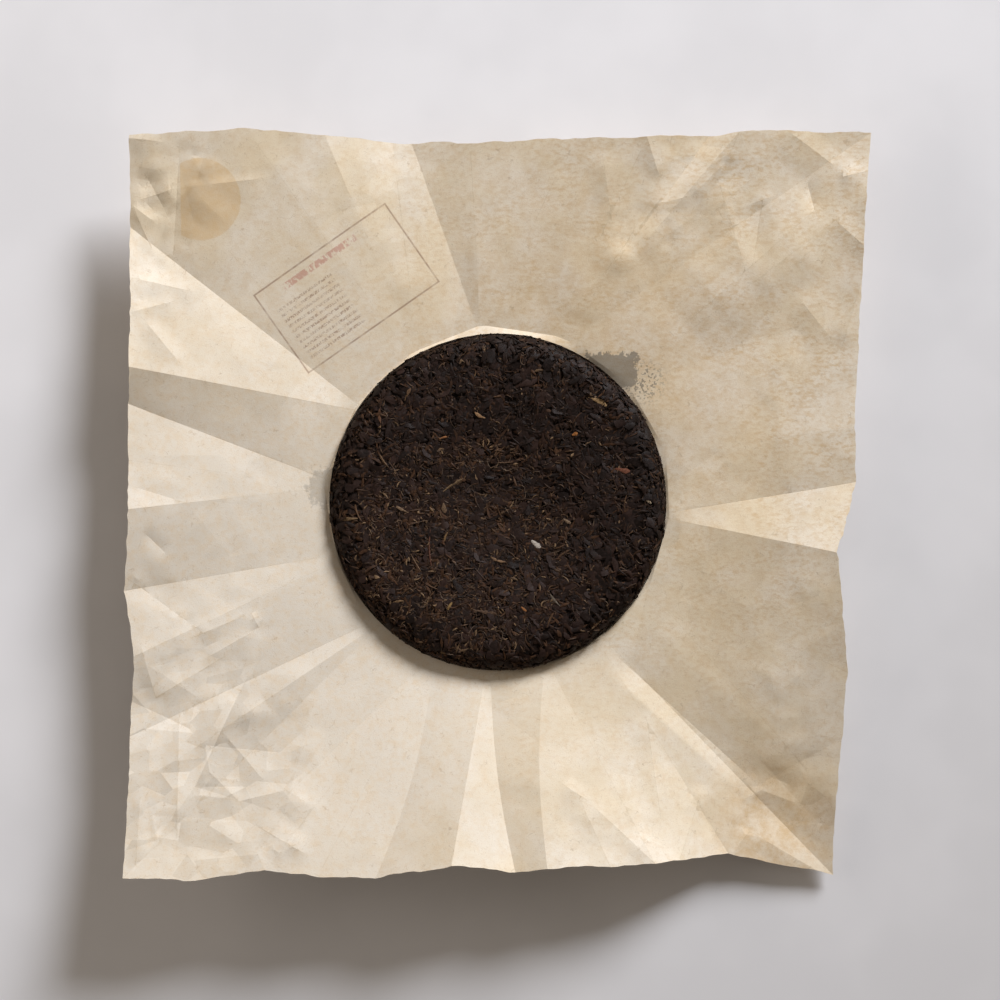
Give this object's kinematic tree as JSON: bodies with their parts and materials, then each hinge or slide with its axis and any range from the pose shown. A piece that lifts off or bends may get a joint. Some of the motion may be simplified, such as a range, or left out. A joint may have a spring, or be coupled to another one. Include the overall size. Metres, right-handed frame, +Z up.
{
  "type": "pu erh tea cake on its opened paper wrapper",
  "caption": "Round pressed disc of dark pu erh tea, back up, lying on its opened square paper wrapper, which is pleated and creased round it.",
  "frame": {"origin": "on the table under the middle of the cake, on the flat underside of the wrapper", "axes": "+Z up out of the cake's back; +X towards the right edge of the sheet and +Y towards its far edge, as the picture shows it from above"},
  "size_m": [0.4285, 0.4315, 0.0567],
  "materials": {
    "pressed_tea": "matte",
    "wrapper_paper": "matte"
  },
  "bodies": {
    "root": {"tea_cake": "pressed_tea", "paper_wrapper": "wrapper_paper"}
  },
  "joints": []
}
